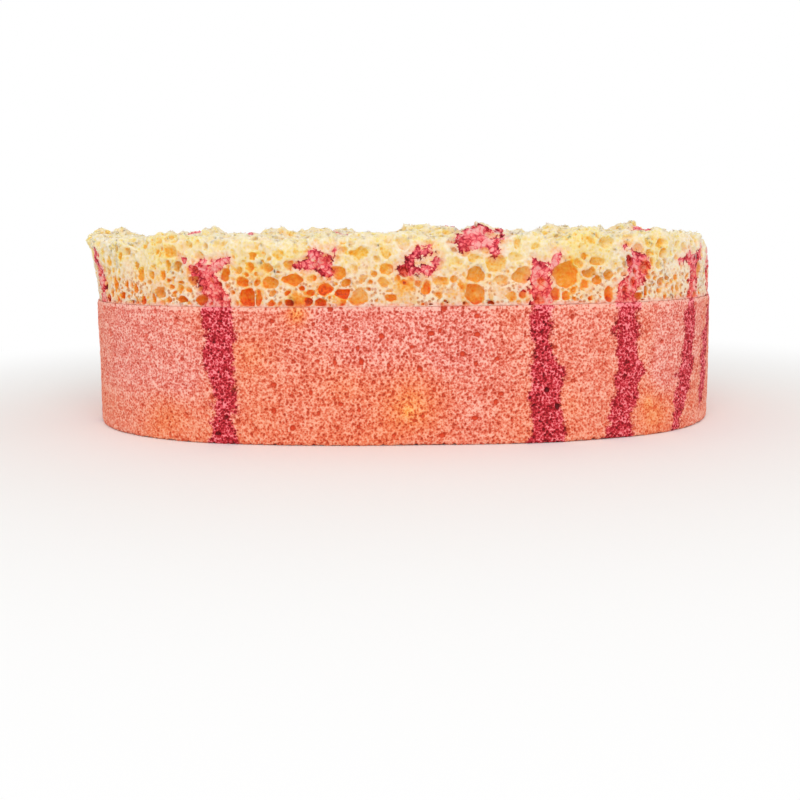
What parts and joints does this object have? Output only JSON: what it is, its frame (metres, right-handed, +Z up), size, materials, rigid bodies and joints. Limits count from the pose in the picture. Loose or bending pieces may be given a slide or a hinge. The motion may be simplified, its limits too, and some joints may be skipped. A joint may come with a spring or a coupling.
{
  "type": "soap-filled sponge",
  "caption": "Oval two-layer bath sponge: a tall block of fine foam holding a soap-soaked pad, under a bonded layer of coarse scrubbing foam that presses down.",
  "frame": {"origin": "centre of the flat underside of the fine foam body, on the surface that the sponge stands on", "axes": "+X along the sponge's length, the picture's right; -Y towards the picture's viewer; +Z up, from the fine foam to the coarse foam"},
  "size_m": [0.1418, 0.098, 0.0436],
  "materials": {
    "fine_foam": "fine open-cell polyurethane foam, coral, with bands of crimson dye",
    "soap": "foam soaked through with set amber glycerin soap",
    "adhesive": "thin hot-melt adhesive, satin",
    "coarse_foam": "coarse large-cell foam, cream with amber pores and crimson streaks"
  },
  "bodies": {
    "base": {"fine_foam_body": "fine_foam", "soap_core": "soap"},
    "scrub_layer": {"bond_film": "adhesive", "coarse_foam_layer": "coarse_foam"}
  },
  "joints": [
    {"name": "squeeze", "type": "slide", "parent": "base", "child": "scrub_layer", "axis": [0, 0, -1], "range_m": [0, 0.008], "stiffness_N_per_m": 2000, "deforming": ["fine_foam_body", "soap_core"]}
  ]
}
